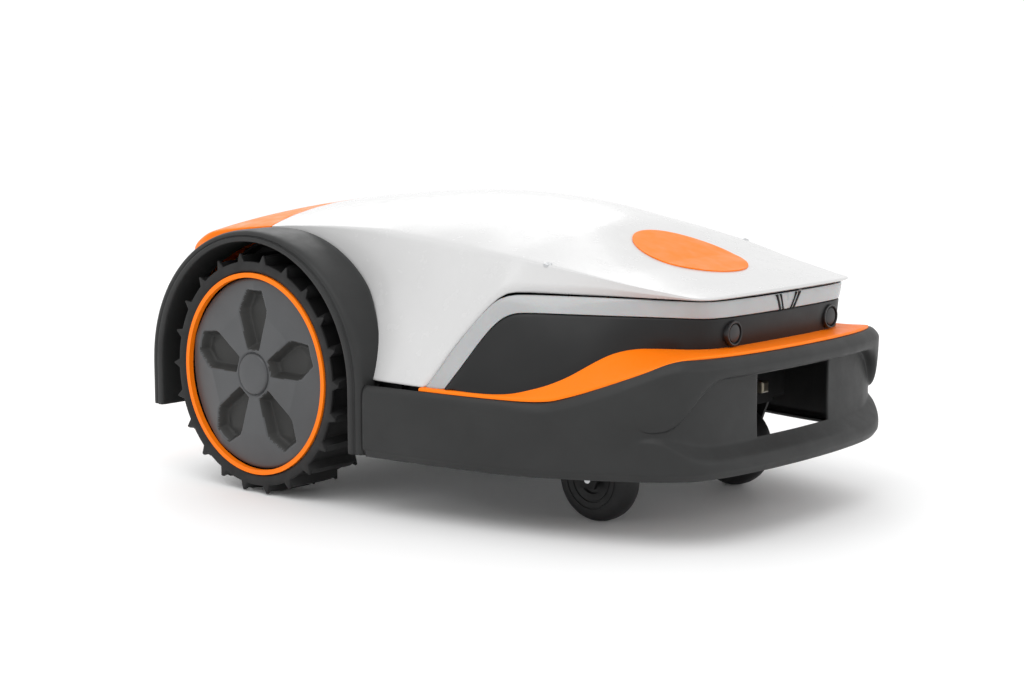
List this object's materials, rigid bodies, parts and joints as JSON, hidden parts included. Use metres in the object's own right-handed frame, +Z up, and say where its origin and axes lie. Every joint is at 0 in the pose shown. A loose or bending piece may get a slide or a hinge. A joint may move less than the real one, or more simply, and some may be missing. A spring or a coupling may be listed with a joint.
{
  "type": "robotic lawn mower",
  "caption": "Self-propelled lawn mower with driven rear wheels, swivel front casters, a floating cover and a height-adjustable deck with pivoting blades.",
  "frame": {"origin": "centre of the footprint's box, on the ground", "axes": "+X forward, +Y to the machine's left, +Z up"},
  "size_m": [0.708, 0.53, 0.318],
  "materials": {
    "white_gloss": "gloss",
    "orange_plastic": "semi-gloss",
    "soft_grey_plastic": "satin",
    "black_plastic": "matt",
    "clear_diffuser": "frosted",
    "brass_contact": "polished",
    "rubber_parts": "matt",
    "red_plastic": "gloss",
    "moulded_black": "grained",
    "steel_parts": "brushed",
    "bronze_bush": "machined",
    "motor_case": "satin",
    "circuit_board": "lacquered",
    "sensor_cap": "matt",
    "tyre_rubber": "matt",
    "caster_tread": "matt",
    "rim_grey": "satin"
  },
  "bodies": {
    "chassis": {"chassis_pan": "moulded_black", "chassis_lid": "moulded_black", "pan_seal": "rubber_parts", "chassis_screws": "steel_parts", "wheel_bearings": "steel_parts", "caster_bushes": "bronze_bush", "float_posts": "rubber_parts", "contact_holder": "black_plastic", "charge_contacts": "brass_contact", "battery_pack": "moulded_black", "main_board": "circuit_board", "lift_motor": "motor_case", "guide_posts": "steel_parts", "gearmotor_left": "motor_case", "gearmotor_right": "motor_case"},
    "cover": {"hood_shell": "white_gloss", "rear_cover": "orange_plastic", "rear_skirt": "soft_grey_plastic", "bumper_skirt": "soft_grey_plastic", "accent_band": "orange_plastic", "fascia": "black_plastic", "light_strip": "clear_diffuser", "badge_disc": "orange_plastic", "rain_studs": "brass_contact", "control_panel": "black_plastic", "keypad": "rubber_parts", "cover_mounts": "moulded_black", "cover_screws": "steel_parts", "fender_left": "soft_grey_plastic", "fender_right": "soft_grey_plastic", "arch_liner_left": "moulded_black", "arch_liner_right": "moulded_black", "sonar_sensor_left": "sensor_cap", "sonar_sensor_right": "sensor_cap"},
    "stop_button": {"stop_button": "red_plastic"},
    "lift_screw": {"lift_screw": "steel_parts"},
    "mow_deck": {"mow_deck": "moulded_black", "blade_motor": "motor_case"},
    "blade_disc": {"motor_shaft": "steel_parts", "blade_disc": "steel_parts", "blade_screws": "steel_parts"},
    "blade_1": {"blade_1": "steel_parts"},
    "blade_2": {"blade_2": "steel_parts"},
    "blade_3": {"blade_3": "steel_parts"},
    "rear_wheel_left": {"tyre_left": "tyre_rubber", "rim_left": "rim_grey", "accent_ring_left": "orange_plastic", "rim_cover_left": "rim_grey", "axle_left": "steel_parts"},
    "caster_fork_left": {"caster_fork_left": "moulded_black", "caster_pin_left": "steel_parts"},
    "caster_wheel_left": {"caster_wheel_left": "caster_tread"},
    "rear_wheel_right": {"tyre_right": "tyre_rubber", "rim_right": "rim_grey", "accent_ring_right": "orange_plastic", "rim_cover_right": "rim_grey", "axle_right": "steel_parts"},
    "caster_fork_right": {"caster_fork_right": "moulded_black", "caster_pin_right": "steel_parts"},
    "caster_wheel_right": {"caster_wheel_right": "caster_tread"}
  },
  "joints": [
    {"name": "cover_float", "type": "slide", "parent": "chassis", "child": "cover", "axis": [1, 0, 0], "range_m": [-0.006, 0.006], "stiffness_N_per_m": 6000},
    {"name": "stop_press", "type": "slide", "parent": "cover", "child": "stop_button", "axis": [0, 0, -1], "range_m": [0, 0.004], "stiffness_N_per_m": 1500, "springref_m": -0.001},
    {"name": "cut_height", "type": "slide", "parent": "chassis", "child": "mow_deck", "axis": [0, 0, -1], "range_m": [0, 0.04]},
    {"name": "screw_turn", "type": "hinge", "parent": "chassis", "child": "lift_screw", "pos_m": [0.068, 0, 0.1], "axis": [0, 0, 1], "range_deg": [0, 3600]},
    {"name": "disc_spin", "type": "hinge", "parent": "mow_deck", "child": "blade_disc", "pos_m": [-0.01, 0, 0.07], "axis": [0, 0, 1], "continuous": true},
    {"name": "blade_1_pivot", "type": "hinge", "parent": "blade_disc", "child": "blade_1", "pos_m": [0.078, 0, 0.068], "axis": [0, 0, 1], "range_deg": [-150, 150]},
    {"name": "blade_2_pivot", "type": "hinge", "parent": "blade_disc", "child": "blade_2", "pos_m": [-0.054, 0.07621, 0.068], "axis": [0, 0, 1], "range_deg": [-150, 150]},
    {"name": "blade_3_pivot", "type": "hinge", "parent": "blade_disc", "child": "blade_3", "pos_m": [-0.054, -0.07621, 0.068], "axis": [0, 0, 1], "range_deg": [-150, 150]},
    {"name": "rear_wheel_left_spin", "type": "hinge", "parent": "chassis", "child": "rear_wheel_left", "pos_m": [-0.184, 0.226, 0.13], "axis": [0, 1, 0], "continuous": true},
    {"name": "caster_left_swivel", "type": "hinge", "parent": "chassis", "child": "caster_fork_left", "pos_m": [0.199, 0.118, 0.12], "axis": [0, 0, 1], "continuous": true},
    {"name": "caster_wheel_left_spin", "type": "hinge", "parent": "caster_fork_left", "child": "caster_wheel_left", "pos_m": [0.177, 0.118, 0.045], "axis": [0, 1, 0], "continuous": true},
    {"name": "rear_wheel_right_spin", "type": "hinge", "parent": "chassis", "child": "rear_wheel_right", "pos_m": [-0.184, -0.226, 0.13], "axis": [0, 1, 0], "continuous": true},
    {"name": "caster_right_swivel", "type": "hinge", "parent": "chassis", "child": "caster_fork_right", "pos_m": [0.199, -0.118, 0.12], "axis": [0, 0, 1], "continuous": true},
    {"name": "caster_wheel_right_spin", "type": "hinge", "parent": "caster_fork_right", "child": "caster_wheel_right", "pos_m": [0.177, -0.118, 0.045], "axis": [0, 1, 0], "continuous": true}
  ],
  "couplings": [
    {"joint": "screw_turn", "follows": "cut_height", "rad_per_m": 1570.8}
  ]
}
